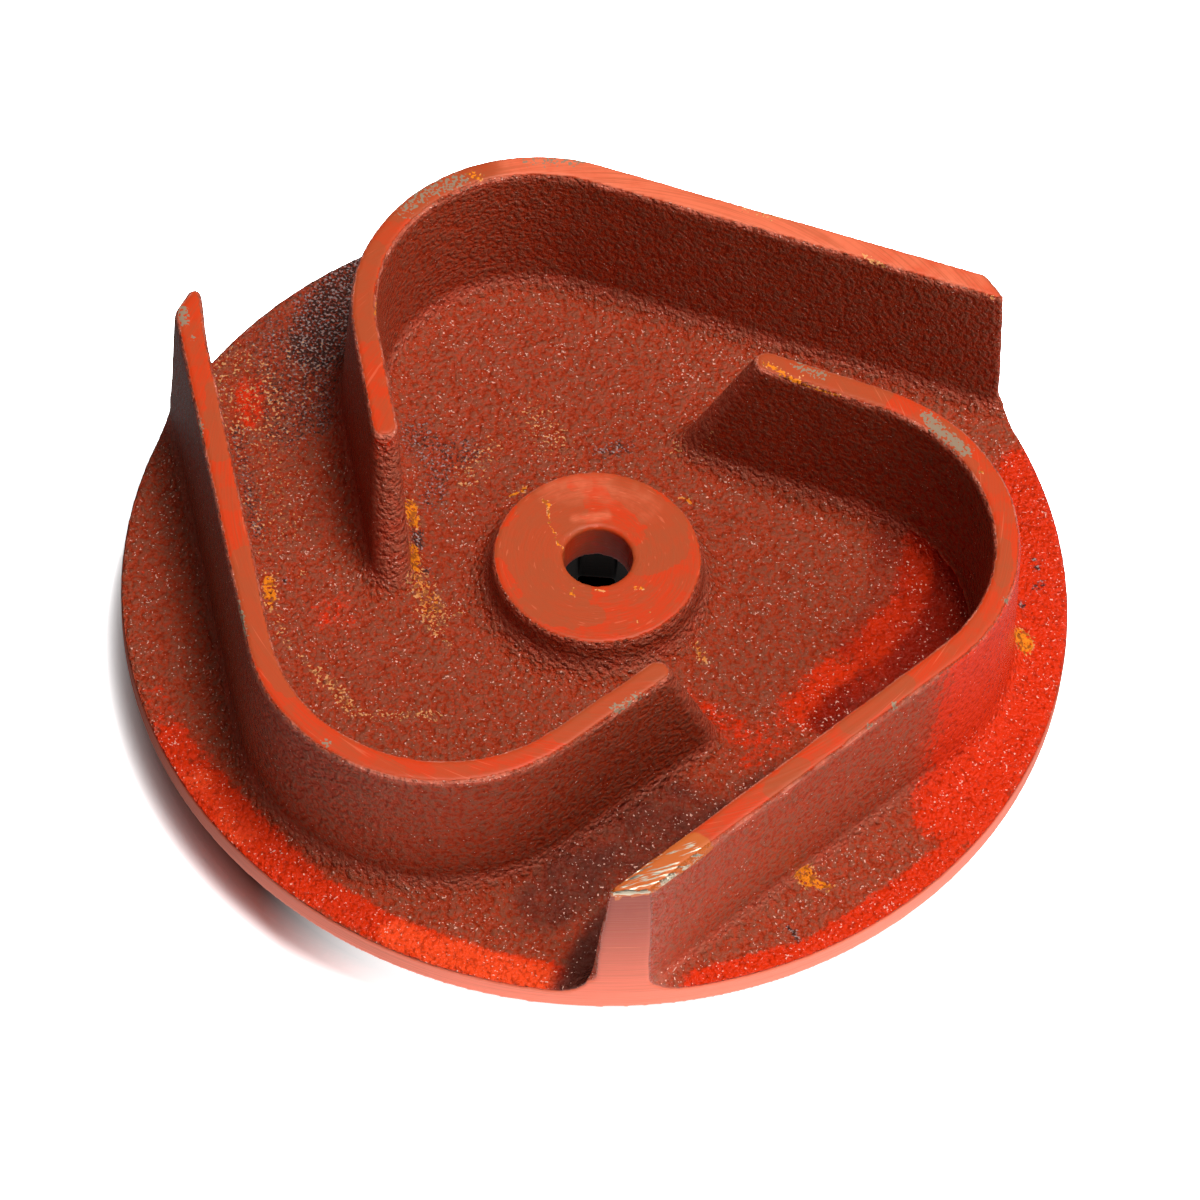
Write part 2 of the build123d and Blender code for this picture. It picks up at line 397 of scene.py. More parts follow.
RUST_MARKS = (
    (2.4, 1.2, FLOOR, ((67.8, -4.3), (68.0, -5.6))),
    (2.2, 1.1, FLOOR, ((34.2, -51.4), (36.0, -52.0))),
    (1.1, 1.0, FLOOR, ((36.0, -52.3), (39.8, -53.0))),
    (1.7, 1.0, FLOOR, ((-51.6, -3.5), (-51.0, -7.6))),
    (1.0, 0.45, FLOOR, ((-51.0, -8.0), (-48.0, -14.9), (-43.0, -20.0))),
    (1.8, 0.62, FLOOR, ((-42.4, -20.5), (-38.6, -23.9), (-36.7, -27.0))),
    (1.4, 0.55, FLOOR, ((-36.7, -27.5), (-31.0, -27.8), (-27.3, -27.2), (-23.0, -26.8))),
    (1.7, 1.0, FLOOR, ((-30.4, 12.5), (-29.6, 8.9))),
    (1.7, 1.0, FLOOR, ((-29.3, 3.4), (-28.9, 0.2))),
    (3.4, 0.62, FLOOR, ((-28.3, -1.5), (-25.9, -5.3), (-24.9, -9.0))),
    (0.9, 0.6, FLOOR, ((-24.7, -10.9), (-22.3, -13.7))),
    (1.6, 0.5, FLOOR, ((-21.0, -7.3),)),
    (0.9, 0.9, FLOOR, ((12.5, 18.5), (15.0, 17.0))),
    (0.7, 0.9, FLOOR, ((-14.6, 16.2), (-12.4, 17.6))),
    (0.9, 0.8, FLOOR, ((-1.5, 20.6),)),
    (1.2, 0.7, FLOOR, ((16.5, -10.5), (18.0, -13.0))),
    (1.1, 0.8, FLOOR, ((-46.0, -2.3),)),
    (9.0, 0.34, FLOOR, ((-62.0, 36.0), (-57.0, 33.0), (-56.0, 26.0))),
    (7.0, 0.22, FLOOR, ((-56.0, 26.0), (-54.0, 18.0), (-52.0, 8.0))),
    (7.0, 0.2, FLOOR, ((-50.0, 40.0), (-52.0, 30.0))),
    (4.0, 0.36, FLOOR, ((-12.0, 32.0), (-8.0, 27.5))),
    (3.0, 0.34, FLOOR, ((-18.0, 26.0), (-22.0, 18.0))),
    (2.6, 0.34, FLOOR, ((12.0, 27.0),)),
    (2.2, 0.45, (18.0, 40.0), ((15.5, 24.0),)),
    (0.8, 0.9, TOPS, ((23.8, 25.6), (27.4, 23.4), (31.0, 21.6), (35.6, 20.3))),
    (0.5, 0.9, TOPS, ((23.6, 28.2), (27.6, 28.0))),
    (0.6, 0.7, TOPS, ((29.6, 23.6),)),
    (1.3, 0.75, TOPS, ((-25.0, 58.6), (-23.6, 58.0))),
    (0.55, 0.9, TOPS, ((-37.6, 34.4), (-37.7, 29.5))),
    (0.6, 0.7, TOPS, ((-34.0, 46.0), (-36.0, 41.0))),
    (1.6, 0.6, TOPS, ((19.5, 56.5), (24.0, 55.0))),
    (0.6, 0.6, TOPS, ((38.0, 48.5), (42.0, 46.4))),
    (1.0, 0.6, TOPS, ((59.0, 42.0),)),
    (0.8, 0.8, TOPS, ((58.5, 8.0),)),
    (0.6, 0.55, TOPS, ((20.0, -58.0), (15.0, -62.0))),
    (0.6, 1.0, HUB, ((-9.2, 9.9), (-8.3, 9.2))),
    (0.35, 1.0, HUB, ((-8.4, 8.7), (-8.3, 6.2), (-7.0, 3.6), (-6.4, 1.6), (-5.4, 1.0))),
    (0.4, 1.0, HUB, ((-3.2, -6.4), (-4.0, -7.6), (-3.2, -7.9))),
    (0.45, 1.0, HUB, ((6.0, -5.5), (7.4, -5.4))),
    (0.4, 0.9, HUB, ((8.8, -9.9),)),
    (0.3, 0.8, HUB, ((0.0, -6.4), (1.4, -6.6))),
    (0.3, 0.8, HUB, ((6.9, -11.9), (7.4, -11.2))),
)
STAIN_MARKS = (
    (8.0, 0.8, FLOOR, ((-42.0, 58.0), (-46.7, 50.0), (-48.0, 42.0))),
    (5.0, 0.5, FLOOR, ((-48.0, 42.0), (-47.0, 28.0))),
    (7.0, 0.42, FLOOR, ((-54.0, 44.0), (-53.0, 34.0), (-51.0, 26.0))),
    (4.5, 0.42, FLOOR, ((-30.8, 26.5), (-27.0, 23.0), (-22.0, 24.0))),
    (3.0, 0.46, FLOOR, ((-26.3, 20.0), (-27.0, 14.0))),
    (1.3, 0.8, FLOOR, ((-29.0, 7.6), (-28.6, 4.6))),
    (1.2, 0.8, FLOOR, ((-27.0, 0.2),)),
    (2.0, 0.45, FLOOR, ((-59.5, 25.0), (-56.0, 12.0), (-54.0, 5.0))),
    (1.2, 0.8, FLOOR, ((-51.3, -6.2),)),
    (1.1, 0.8, FLOOR, ((-49.0, -3.6),)),
    (1.1, 0.5, FLOOR, ((-48.5, -13.5),)),
    (0.8, 0.9, FLOOR, ((69.4, 11.3), (69.8, 9.4))),
    (0.9, 0.9, FLOOR, ((70.7, 6.9), (69.5, 5.5))),
    (0.7, 0.8, FLOOR, ((67.3, 14.0),)),
    (1.0, 1.0, FLOOR, ((67.6, 2.3),)),
    (1.0, 1.0, FLOOR, ((67.5, -3.9),)),
    (2.2, 0.5, FLOOR, ((3.0, 27.5), (-1.0, 25.5))),
    (0.6, 1.0, FLOOR, ((33.4, -60.4), (34.6, -61.8), (36.0, -63.6))),
)
WORN_MARKS = (
    (1.2, 0.9, TOPS, ((-68.0, 27.2), (-67.6, 25.0))),
    (0.9, 0.8, TOPS, ((-66.0, 22.1),)),
    (0.9, 0.9, TOPS, ((-63.5, 6.0), (-62.9, 0.5))),
    (0.9, 0.8, TOPS, ((-54.2, -27.5), (-52.9, -33.0))),
    (0.9, 0.9, TOPS, ((-38.5, -51.5),)),
    (1.5, 1.0, TOPS, ((49.5, 17.5), (55.8, 11.5))),
    (2.4, 0.62, TOPS, ((-26.5, 57.4), (-31.2, 54.7), (-35.0, 51.0))),
    (1.2, 0.5, TOPS, ((-8.0, 62.6), (-16.0, 62.0))),
    (0.8, 0.7, TOPS, ((63.0, -16.0),)),
    (0.9, 0.8, TOPS, ((46.7, -36.9),)),
    (0.9, 0.7, TOPS, ((43.0, -40.9),)),
    (1.0, 0.6, TOPS, ((8.0, -38.8), (4.0, -41.5))),
    (1.2, 0.6, TOPS, ((29.0, 25.8), (33.0, 24.0))),
)
AGED_MARKS = (
    (4.0, 0.7, TOPS, ((-41.0, 41.7), (-41.4, 33.7), (-39.5, 27.0))),
    (4.0, 0.6, TOPS, ((-36.0, 51.0), (-30.0, 55.5), (-22.0, 59.0))),
    (2.2, 0.7, TOPS, ((-61.5, 12.0), (-59.6, 0.0))),
    (4.0, 0.75, TOPS, ((-53.5, -20.0), (-49.9, -33.9), (-45.0, -40.8))),
    (4.0, 0.8, TOPS, ((-2.0, -46.0), (5.0, -40.0), (11.0, -35.0))),
    (4.0, 0.7, TOPS, ((25.0, 27.0), (34.0, 22.0), (41.0, 20.8))),
    (2.2, 0.6, TOPS, ((52.0, 15.4), (56.5, 9.0))),
    (2.0, 0.6, TOPS, ((62.6, -6.0), (62.2, -12.0))),
    (2.2, 0.6, TOPS, ((48.0, -33.0), (40.0, -41.0))),
    (2.0, 0.6, TOPS, ((33.0, -49.0), (29.0, -54.0))),
    (7.0, 0.7, HUB, ((-8.0, 8.0), (-10.9, 0.0), (-6.0, -7.5))),
    (4.0, 0.8, HUB, ((4.0, 13.0), (10.0, 8.0), (11.0, 2.6), (8.0, 0.2))),
    (3.0, 0.6, HUB, ((-6.0, -12.0), (0.0, -11.4))),
)
# Painted sheen on the vane tops at the back and on the hub face
PAINTED_SHEEN_MARKS = (
    (9.0, 0.6, TOPS, ((-14.0, 62.5), (2.2, 58.9), (21.6, 54.1), (34.0, 50.5))),
    (9.0, 0.45, TOPS, ((34.0, 50.5), (55.5, 45.0))),
    (4.0, 0.25, HUB, ((-7.5, 12.4), (0.0, 13.0), (7.0, 10.0))),
    (1.2, 0.35, HUB, ((-4.0, 7.0), (1.0, 7.8))),
)
BARE_MARKS = (
    (4.2, 0.9, (43.0, 45.0), ((4.0, -74.5), (12.0, -70.5), (17.0, -66.5))),
    (0.7, 1.8, (43.8, 45.0), ((4.6, -74.2), (8.0, -73.9), (11.6, -73.4))),
    (0.8, 1.5, (43.3, 45.0), ((13.5, -71.6), (17.5, -68.0))),
    (0.7, 1.2, (43.3, 45.0), ((18.5, -66.8), (24.5, -61.5), (29.0, -57.4))),
)


def mark_field(points, marks):
    """How strong the marks are at each point: full in their middle, 0 at the edge, negative outside."""
    far_outside = -2.0
    edge_slope = 1.6
    field = np.full(len(points), far_outside)
    for half_width, strength, (lowest, highest), path in marks:
        near = np.flatnonzero((points[:, 2] > lowest) & (points[:, 2] < highest))
        plan = points[near, :2]
        corners = np.array(path, dtype=float)
        ends = corners[1:] if len(corners) > 1 else corners
        distance = np.full(len(near), np.inf)
        for start, end in zip(corners, ends):
            run = end - start
            along = np.clip((plan - start) @ run / max(run @ run, 1e-9), 0.0, 1.0)
            distance = np.minimum(distance, np.hypot(*(plan - start - along[:, None] * run).T))
        depth = strength * np.clip(edge_slope * (1.0 - distance / half_width), far_outside, 1.0)
        field[near] = np.maximum(field[near], depth)
    return field


def store_marks(mesh):
    """Writes each kind of mark to the mesh as an attribute that the material reads."""
    points = points_of(mesh)
    kinds = {
        "scarlet": SCARLET_MARKS,
        "vivid": VIVID_MARKS,
        "wall_foot_shade": WALL_FOOT_SHADE_MARKS,
        "channel_shadow": CHANNEL_SHADOW_MARKS,
        "rust": RUST_MARKS,
        "stain": STAIN_MARKS,
        "worn": WORN_MARKS,
        "aged": AGED_MARKS,
        "pale": PAINTED_SHEEN_MARKS,
        "bare": BARE_MARKS,
    }
    for name, marks in kinds.items():
        attribute = mesh.attributes.new(name, "FLOAT", "POINT")
        attribute.data.foreach_set("value", mark_field(points, marks).astype(np.float32))


class IMPELLER_OT_casting(bpy.types.Operator):
    """Build the painted casting over the CAD model"""

    bl_idname = "impeller.casting"
    bl_label = "Casting"

    def execute(self, context):
        settings = context.scene.impeller_casting
        casting = cast_iron_mesh(settings)
        casting.name = "impeller_casting"
        casting.data.name = "impeller_casting"
        store_marks(casting.data)
        casting.data.materials.clear()
        casting.data.materials.append(painted_iron(context.scene.impeller_paint, settings))
        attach(casting, "root")
        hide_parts("impeller")
        return {"FINISHED"}


# The turned and bored faces: name, what each is measured on, where it starts, where it is full
TURNED_ZONES = (
    ("top", "height", VANE_TOP - 0.22, VANE_TOP - 0.06),
    ("rim", "rim_reach", RIM_RADIUS - 0.25, RIM_RADIUS - 0.08),
    ("rear", "height", 0.2, 0.06),
    ("hub", "hub_height", HUB_FRONT - 0.22, HUB_FRONT - 0.06),
    ("bore", "around", BORE_REACH, BORE_REACH - 0.1),
)


def casting_places(tree):
    """Where on the casting the shaded point is, in millimetres, and which turned face it is on."""
    object_place = add_node(tree, "ShaderNodeTexCoord").node.outputs["Object"]
    place = add_node(tree, "ShaderNodeVectorMath", {0: object_place, "Scale": 1 / MM}, operation="SCALE")
    x, y, height = add_node(tree, "ShaderNodeSeparateXYZ", {0: place}).node.outputs
    flat_place = add_node(tree, "ShaderNodeCombineXYZ", {0: x, 1: y})
    around = add_node(tree, "ShaderNodeVectorMath", {0: flat_place}, operation="LENGTH")
    angle = add_node(tree, "ShaderNodeMath", {0: y, 1: x}, operation="ARCTAN2")
    over_shroud = add_node(tree, "ShaderNodeMath", {0: height, 1: SHROUD_FRONT}, operation="SUBTRACT")
    over_shroud = add_node(tree, "ShaderNodeMath", {0: over_shroud, 1: 0.0}, operation="MAXIMUM")
    rim_reach = add_node(
        tree,
        "ShaderNodeMath",
        {0: over_shroud, 1: TIP_TAPER, 2: around},
        operation="MULTIPLY_ADD",
    )
    in_hub = add_node(tree, "ShaderNodeMath", {0: around, 1: HUB_FACE_REACH}, operation="LESS_THAN")
    under_vanes = add_node(tree, "ShaderNodeMath", {0: height, 1: HUB_FRONT + 0.4}, operation="LESS_THAN")
    on_hub = add_node(tree, "ShaderNodeMath", {0: in_hub, 1: under_vanes}, operation="MULTIPLY")
    hub_height = add_node(tree, "ShaderNodeMath", {0: height, 1: on_hub}, operation="MULTIPLY")
    places = {
        "place": place,
        "height": height,
        "around": around,
        "angle": angle,
        "rim_reach": rim_reach,
        "hub_height": hub_height,
    }
    turned = 0.0
    for name, measured, start, full in TURNED_ZONES:
        places[name] = add_node(
            tree,
            "ShaderNodeMapRange",
            {"Value": places[measured], "From Min": start, "From Max": full},
            interpolation_type="SMOOTHSTEP",
        )
        turned = add_node(tree, "ShaderNodeMath", {0: places[name], 1: turned}, operation="MAXIMUM")
    places["turned"] = turned
    # Painted shade: the bore behind the web, unpainted iron in shadow, is coloured near black
    in_bore = add_node(tree, "ShaderNodeMath", {0: around, 1: BORE_REACH}, operation="LESS_THAN")
    behind_web = add_node(
        tree,
        "ShaderNodeMath",
        {0: height, 1: WEB_BACK / 2, 2: WEB_BACK / 2 - 0.2},
        operation="COMPARE",
    )
    bore_shade = add_node(tree, "ShaderNodeMath", {0: in_bore, 1: behind_web}, operation="MULTIPLY")
    places["bore_shade"] = bore_shade
    return places


# Patterns: name, size in millimetres, detail, roughness. Moulding sand is 0.2 to 0.5 mm, and its grain
# is drawn about twice as coarse, because it would be too fine to show.
PATTERNS = (
    ("grit", 0.5, 1.0, 0.5),
    ("fine", 0.42, 2.0, 0.6),
    # Noise for the painted highlights on the grains
    ("painted_glints", 0.42, 1.0, 0.5),
    ("grain", 0.95, 2.0, 0.55),
    ("patchy", 4.5, 3.0, 0.6),
    ("broad", 15.0, 2.0, 0.5),
)
PEBBLE_SIZE = 0.85
RING_SPACING = 0.3

# Scratches round the turned faces: how many a millimetre out from the axis, a radian round it, and a
# millimetre up. Scrapes on the worn tip: their length, width and depth, and their direction in radians.
SCRATCH_DENSITY = (2.6, 5.0, 2.6)
SCRAPE_SIZE = (3.4, 0.42, 1.0)
SCRAPE_TURN = 0.45


def casting_patterns(tree, places):
    """The uneven patterns that the paint, the marks and the relief share, each about 0.5 on average."""
    patterns = {}
    for name, size, detail, roughness in PATTERNS:
        patterns[name] = add_node(
            tree,
            "ShaderNodeTexNoise",
            {"Vector": places["place"], "Scale": 1 / size, "Detail": detail, "Roughness": roughness},
        )
    patterns["pebbles"] = add_node(
        tree,
        "ShaderNodeTexVoronoi",
        {"Vector": places["place"], "Scale": 1 / PEBBLE_SIZE},
        feature="F1",
    )

    # Tool marks and scratches follow circles round the axis
    circles = add_node(
        tree,
        "ShaderNodeCombineXYZ",
        {0: places["around"], 1: places["angle"], 2: places["height"]},
    )
    patterns["rings"] = add_node(
        tree,
        "ShaderNodeTexNoise",
        {"Vector": circles, "Scale": 1 / RING_SPACING, "Detail": 2.0},
    )
    scratch_place = add_node(
        tree,
        "ShaderNodeVectorMath",
        {0: circles, 1: SCRATCH_DENSITY},
        operation="MULTIPLY",
    )
    patterns["scratches"] = add_node(
        tree,
        "ShaderNodeTexNoise",
        {"Vector": scratch_place, "Scale": 1.0, "Detail": 1.0},
    )

    # Scrapes lie side by side across the tip
    scrape_place = add_node(
        tree,
        "ShaderNodeMapping",
        {"Vector": places["place"], "Rotation": (0.0, 0.0, SCRAPE_TURN), "Scale": SCRAPE_SIZE},
        vector_type="TEXTURE",
    )
    patterns["scrapes"] = add_node(
        tree,
        "ShaderNodeTexNoise",
        {"Vector": scrape_place, "Scale": 1.0, "Detail": 2.0},
    )
    return patterns


# Marks: name, stored attribute, pattern that breaks it up, how much, where it starts, where it is full
MARK_EDGES = (
    ("scarlet", "scarlet", "grain", 1.2, 0.75, 1.25),
    ("vivid", "vivid", "patchy", 1.2, 0.6, 1.6),
    # Painted shade at a wall's foot
    ("wall_foot_shade", "wall_foot_shade", "patchy", 0.6, 0.5, 1.3),
    # Painted shadow behind a vane's tip
    ("channel_shadow", "channel_shadow", "patchy", 0.8, 0.3, 1.5),
    ("stain", "stain", "fine", 2.4, 1.4, 2.1),
    ("worn", "worn", "grit", 3.4, 2.2, 2.5),
    ("rust", "rust", "grit", 3.0, 2.12, 2.3),
    ("rust_fresh", "rust", "patchy", 0.6, 0.75, 1.05),
    ("aged", "aged", "patchy", 1.4, 0.9, 1.0),
    # Painted sheen on the tops and hub
    ("pale", "pale", "patchy", 0.8, 0.4, 1.1),
    ("bare", "bare", "scrapes", 3.6, 2.8, 3.1),
    ("scraped", "bare", "patchy", 1.2, 0.65, 0.8),
)


def mark_masks(tree, patterns):
    """How much of each mark shows, from the mesh's attributes, with edges broken up by the patterns."""
    masks = {}
    for name, stored, pattern, amount, start, full in MARK_EDGES:
        field = add_node(tree, "ShaderNodeAttribute", attribute_name=stored).node.outputs["Fac"]
        broken = add_node(
            tree,
            "ShaderNodeMath",
            {0: patterns[pattern], 1: amount, 2: field},
            operation="MULTIPLY_ADD",
        )
        masks[name] = add_node(
            tree,
            "ShaderNodeMapRange",
            {"Value": broken, "From Min": start, "From Max": full},
            interpolation_type="SMOOTHSTEP",
        )
    return masks


def sand_relief(tree, patterns):
    """Height of the sand grain, about 0 to 1: rounded pebbles with finer grit."""
    grit = add_node(
        tree,
        "ShaderNodeMath",
        {0: patterns["fine"], 1: 0.7, 2: patterns["grain"]},
        operation="MULTIPLY_ADD",
    )
    return add_node(
        tree,
        "ShaderNodeMath",
        {0: patterns["pebbles"], 1: -0.55, 2: grit},
        operation="MULTIPLY_ADD",
    )


def paint_amounts(tree, places, patterns, masks, relief):
    """How much of each layer of paint, stain, rust, painted shade and painted highlight shows, by name."""
    normal = add_node(tree, "ShaderNodeNewGeometry").node.outputs["Normal"]
    facing_up = add_node(tree, "ShaderNodeSeparateXYZ", {0: normal}).node.outputs["Z"]

    # Fillets at the foot of the walls, and the dulled top edges: thick glossy paint gathers on them
    foot = add_node(
        tree,
        "ShaderNodeMapRange",
        {"Value": facing_up, "From Min": 0.04, "From Max": 0.22},
        interpolation_type="SMOOTHSTEP",
    )
    sloping = add_node(
        tree,
        "ShaderNodeMapRange",
        {"Value": facing_up, "From Min": 0.8, "From Max": 0.45},
        interpolation_type="SMOOTHSTEP",
    )
    sloping = add_node(tree, "ShaderNodeMath", {0: sloping, 1: foot}, operation="MULTIPLY")
    thick = add_node(
        tree,
        "ShaderNodeMapRange",
        {"Value": patterns["patchy"], "From Min": 0.42, "From Max": 0.64, "To Max": 0.3},
        interpolation_type="SMOOTHSTEP",
    )
    gathered = add_node(tree, "ShaderNodeMath", {0: sloping, 1: thick}, operation="MULTIPLY")
    scarlet = add_node(tree, "ShaderNodeMath", {0: masks["scarlet"], 1: gathered}, operation="MAXIMUM")

    # The dulled edges of the vane tops are pale here and there: partly rubbed paint, partly a painted
    # highlight
    near_top = add_node(
        tree,
        "ShaderNodeMapRange",
        {"Value": places["height"], "From Min": VANE_TOP - 1.0, "From Max": VANE_TOP - 0.7},
    )
    edge = add_node(tree, "ShaderNodeMapRange", {"Value": facing_up, "From Min": 0.15, "From Max": 0.4})
    edge = add_node(tree, "ShaderNodeMath", {0: near_top, 1: edge}, operation="MULTIPLY")
    rubbed = add_node(
        tree,
        "ShaderNodeMath",
        {0: patterns["patchy"], 1: 1.2, 2: edge},
        operation="MULTIPLY_ADD",
    )
    rubbed = add_node(tree, "ShaderNodeMapRange", {"Value": rubbed, "From Min": 1.5, "From Max": 1.75})

    # Painted highlights: grains are coloured bright, most where they face up and on the fillets
    painted_glints = add_node(
        tree,
        "ShaderNodeMath",
        {0: patterns["patchy"], 1: 0.24, 2: patterns["painted_glints"]},
        operation="MULTIPLY_ADD",
    )
    lit = add_node(
        tree,
        "ShaderNodeMapRange",
        {"Value": facing_up, "From Min": 0.1, "From Max": 0.95, "To Min": -0.18, "To Max": -0.12},
    )
    lit = add_node(tree, "ShaderNodeMath", {0: sloping, 1: 0.03, 2: lit}, operation="MULTIPLY_ADD")
    painted_glints = add_node(tree, "ShaderNodeMath", {0: painted_glints, 1: lit}, operation="ADD")

    # Painted shade: the turned tips are browner the higher they are, further from the light off the paper
    tip_top_shade = add_node(
        tree,
        "ShaderNodeMapRange",
        {"Value": places["height"], "From Min": 9.0, "From Max": 43.0},
    )
    tip_top_shade = add_node(tree, "ShaderNodeMath", {0: tip_top_shade, 1: places["rim"]}, operation="MULTIPLY")

    # Amounts that grow softly: name, what each grows on, where it starts, where it is full, the most
    amounts = {**places, **masks}
    for name, value, start, full, most in (
        ("red_between", relief, 0.68, 0.42, 0.85),
        ("dull_on_top", relief, 0.62, 0.92, 0.8),
        # Painted shade in the deepest pits of the grain
        ("pits", relief, 0.5, 0.32, 0.3),
        ("dull_area", patterns["broad"], 0.45, 0.62, 0.4),
        # Painted sheen along the fillets
        ("fillet", sloping, 0.0, 1.0, 0.4),
        ("scarlet", scarlet, 0.0, 1.0, 0.95),
        ("vivid", masks["vivid"], 0.0, 1.0, 0.9),
        # Painted shade at a wall's foot
        ("wall_foot_shade", masks["wall_foot_shade"], 0.0, 1.0, 0.9),
        # Painted shadow behind a vane's tip
        ("channel_shadow", masks["channel_shadow"], 0.0, 1.0, 0.95),
        # Partly rubbed paint, partly a painted highlight on the top edges
        ("rubbed", rubbed, 0.0, 1.0, 0.55),
        # Painted highlights on the grains
        ("painted_glints", painted_glints, 0.69, 0.74, 0.85),
        ("stain_grains", patterns["grit"], 0.52, 0.64, 0.8),
        ("rust_gaps", patterns["grain"], 0.5, 0.6, 0.75),
        ("turned_area", patterns["patchy"], 0.44, 0.58, 0.4),
        ("aged", masks["aged"], 0.0, 1.0, 0.6),
        # Painted shade, higher on the tips
        ("tip_top_shade", tip_top_shade, 0.0, 1.0, 0.92),
        ("tool_lines", patterns["rings"], 0.42, 0.7, 0.4),
        ("scratched", patterns["scratches"], 0.68, 0.76, 0.35),
    ):
        amounts[name] = add_node(
            tree,
            "ShaderNodeMapRange",
            {"Value": value, "From Min": start, "From Max": full, "To Max": most},
            interpolation_type="SMOOTHSTEP",
        )
    return amounts


def layered(tree, amounts, base, layers):
    """The base colour with each layer's colour laid over it by the amount of that name."""
    for name, over in layers:
        base = add_node(tree, "ShaderNodeMix", {0: amounts[name], 6: base, 7: over}, data_type="RGBA")
    return base


def paint_colour(tree, paint, amounts):
    """The casting's colour: the cast faces, then the turned faces, the rust and the bare iron."""
    stain = layered(tree, amounts, paint.stain, [("stain_grains", paint.stain_pale)])
    rust = (("rust_fresh", paint.rust), ("rust_gaps", paint.rust_dark))
    rust = layered(tree, amounts, paint.rust_pale, rust)
    cast = (
        ("dull_area", paint.oxide_dull),
        ("dull_on_top", paint.oxide_dull),
        ("red_between", paint.oxide_red),
        # Painted sheen along the fillets
        ("fillet", paint.painted_fillet_sheen),
        ("scarlet", paint.scarlet),
        ("vivid", paint.vivid),
        # Painted shade at a wall's foot
        ("wall_foot_shade", paint.painted_shade_red),
        # Painted shadow behind a vane's tip
        ("channel_shadow", paint.channel_shadow),
        # Painted shade in the deepest pits of the grain
        ("pits", paint.painted_pit_shade),
        # Partly rubbed paint, partly a painted highlight on the top edges
        ("rubbed", paint.rubbed),
        # Painted highlights on the grains
        ("painted_glints", paint.glint),
        ("stain", stain),
    )
    cast = layered(tree, amounts, paint.oxide, cast)
    turned = (
        ("turned_area", paint.turned_aged),
        ("aged", paint.turned_aged),
        # Painted sheen on the tops and hub
        ("pale", paint.turned_pale_and_sheen),
        ("rim", paint.salmon),
        # Painted shade, higher on the tips
        ("tip_top_shade", paint.tip),
        ("tool_lines", paint.turned_aged),
        ("scratched", paint.turned_pale_and_sheen),
    )
    turned = layered(tree, amounts, paint.turned, turned)
    over_cast = (
        ("turned", turned),
        # Painted shade: the rear bore coloured near black
        ("bore_shade", paint.bore),
        ("worn", paint.worn),
        ("rust", rust),
        ("scraped", paint.scraped),
        ("bare", paint.bare),
    )
    return layered(tree, amounts, cast, over_cast)


def painted_iron(paint, settings):
    """Red oxide paint on sand-cast grey iron with turned faces.

    The cast faces show the sand's grain through the paint, dull and brownish where it is old and glossy
    scarlet where it ran thick. The turned faces are smoother and paler, with fine tool marks.
    """
    material = bpy.data.materials.new("red_oxide_paint_on_sand_cast_iron")
    material.use_nodes = True
    tree = material.node_tree
    shader = tree.nodes["Principled BSDF"]
    places = casting_places(tree)
    patterns = casting_patterns(tree, places)
    masks = mark_masks(tree, patterns)
    relief = sand_relief(tree, patterns)
    amounts = paint_amounts(tree, places, patterns, masks, relief)
    tree.links.new(paint_colour(tree, paint, amounts), shader.inputs["Base Color"])
    tree.links.new(amounts["bare"], shader.inputs["Metallic"])

    # The paint is glossiest where it ran thick, and rust is dull
    dullness = 0.27
    for name, roughness in (("scarlet", 0.22), ("turned", 0.44), ("rust", 0.6), ("bare", 0.42)):
        dullness = add_node(tree, "ShaderNodeMix", {0: amounts[name], 2: dullness, 3: roughness})
    tree.links.new(dullness, shader.inputs["Roughness"])
    shader.inputs["Specular IOR Level"].default_value = 0.28
    shader.inputs["Specular Tint"].default_value = (1.0, 0.72, 0.62, 1.0)

    # Relief: sand grain on the cast faces, rings on the turned ones
    on_cast = add_node(tree, "ShaderNodeMath", {0: 1.0, 1: places["turned"]}, operation="SUBTRACT")
    sand = add_node(tree, "ShaderNodeMath", {0: relief, 1: on_cast}, operation="MULTIPLY")
    sand = add_node(tree, "ShaderNodeBump", {"Height": sand, "Strength": 1.0, "Distance": settings.grain})
    rings = add_node(
        tree,
        "ShaderNodeMath",
        {0: patterns["rings"], 1: places["turned"]},
        operation="MULTIPLY",
    )
    rings = add_node(
        tree,
        "ShaderNodeBump",
        {"Height": rings, "Strength": 1.0, "Distance": settings.tool_marks, "Normal": sand},
    )
    tree.links.new(rings, shader.inputs["Normal"])
    return material


class IMPELLER_OT_stage(bpy.types.Operator):
    """Set the floor, the lights and the camera"""

    bl_idname = "impeller.stage"
    bl_label = "Stage"

    def execute(self, context):
        studio = context.scene.impeller_studio
        floor_mesh = bpy.data.meshes.new("floor")
        edit = bmesh.new()
        bmesh.ops.create_grid(edit, x_segments=1, y_segments=1, size=3.0)
        edit.to_mesh(floor_mesh)
        edit.free()
        floor = bpy.data.objects.new("floor", floor_mesh)
        context.scene.collection.objects.link(floor)
        floor_mesh.materials.append(white_paper())
        add_softbox("key", studio.key_power, 0.7, azimuth=-22.0, elevation=76.0, distance=1.7)
        add_softbox("side_fill", studio.fill_power, 1.0, azimuth=-20.0, elevation=20.0, distance=1.4)
        add_softbox("spark", studio.spark_power, 0.06, azimuth=60.0, elevation=78.0, distance=0.8)
        context.scene.world = dim_world()
        add_camera()
        context.scene.view_settings.view_transform = "Standard"
        return {"FINISHED"}


